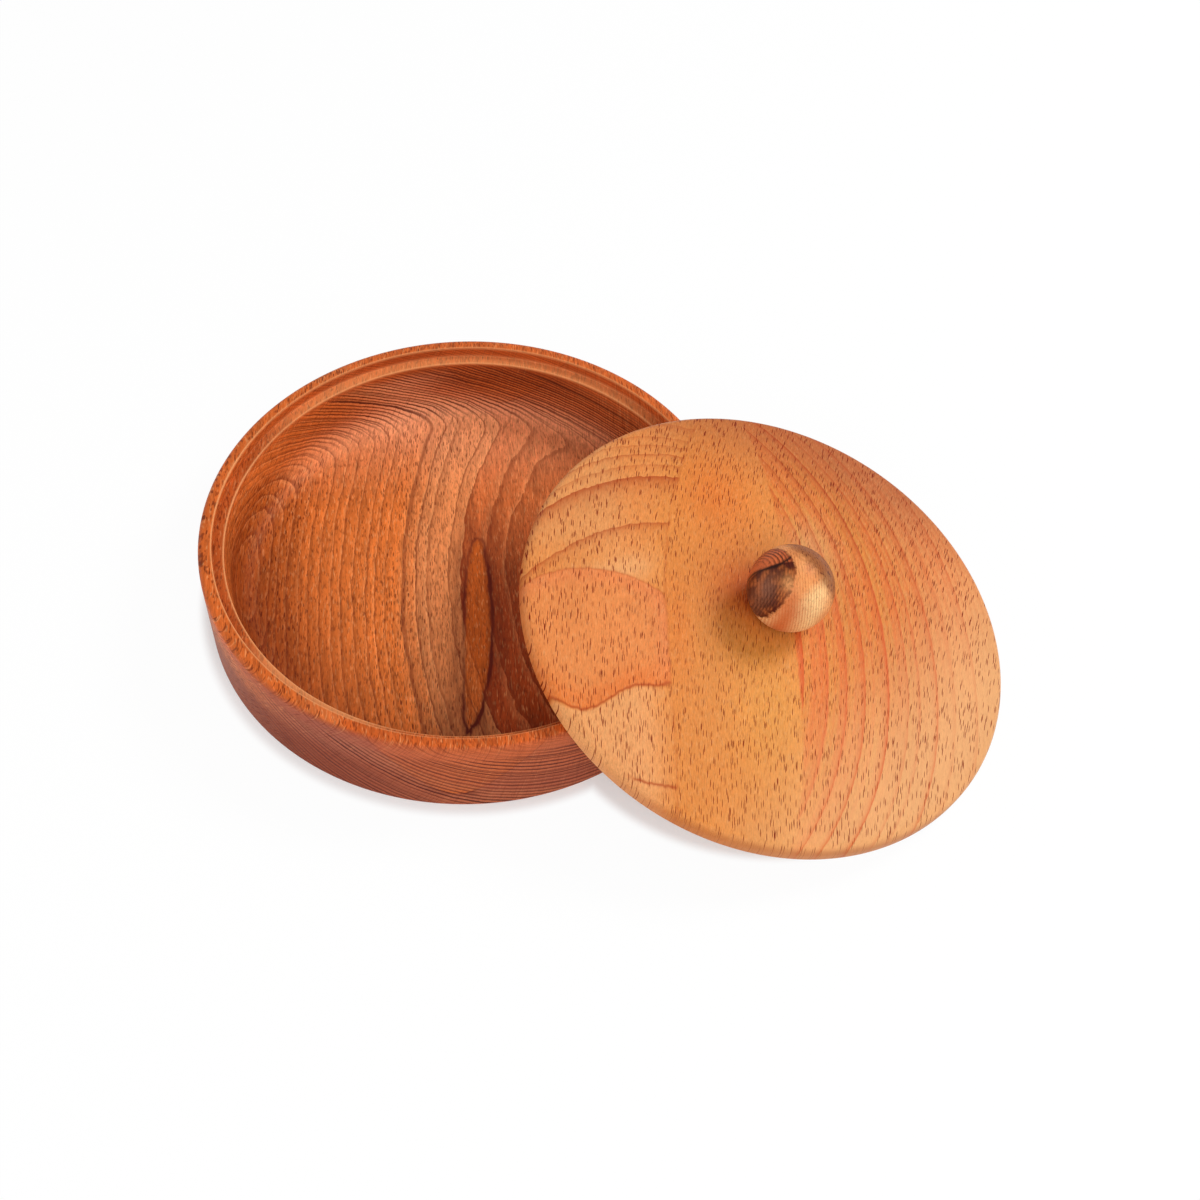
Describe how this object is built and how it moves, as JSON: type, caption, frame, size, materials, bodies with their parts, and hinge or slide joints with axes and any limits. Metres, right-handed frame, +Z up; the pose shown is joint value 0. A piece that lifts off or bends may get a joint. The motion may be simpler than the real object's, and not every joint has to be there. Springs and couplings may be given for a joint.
{
  "type": "lidded wooden box",
  "caption": "Shallow round turned wooden box with a stepped rim, and its low domed lid with a ball knob, taken off and leaning with its hollow underside on the rim.",
  "frame": {"origin": "centre of the box's flat foot, at table level", "axes": "+Z up along the box's turning axis; +X to the right, roughly where the lid leans; +Y away from the viewer"},
  "size_m": [0.2831, 0.2252, 0.0641],
  "materials": {
    "bowl": "oiled beech, dark side grain",
    "lid": "oiled beech, light face grain",
    "knob": "oiled beech, end grain on top",
    "knob_dowel": "plain beech, glued"
  },
  "bodies": {
    "box": {"bowl": "bowl"},
    "lid": {"lid": "lid", "knob": "knob", "knob_dowel": "knob_dowel"}
  },
  "joints": [
    {"name": "lid_lift", "type": "slide", "parent": "box", "child": "lid", "axis": [0, 0, 1], "range_m": [0, 0.08]}
  ]
}
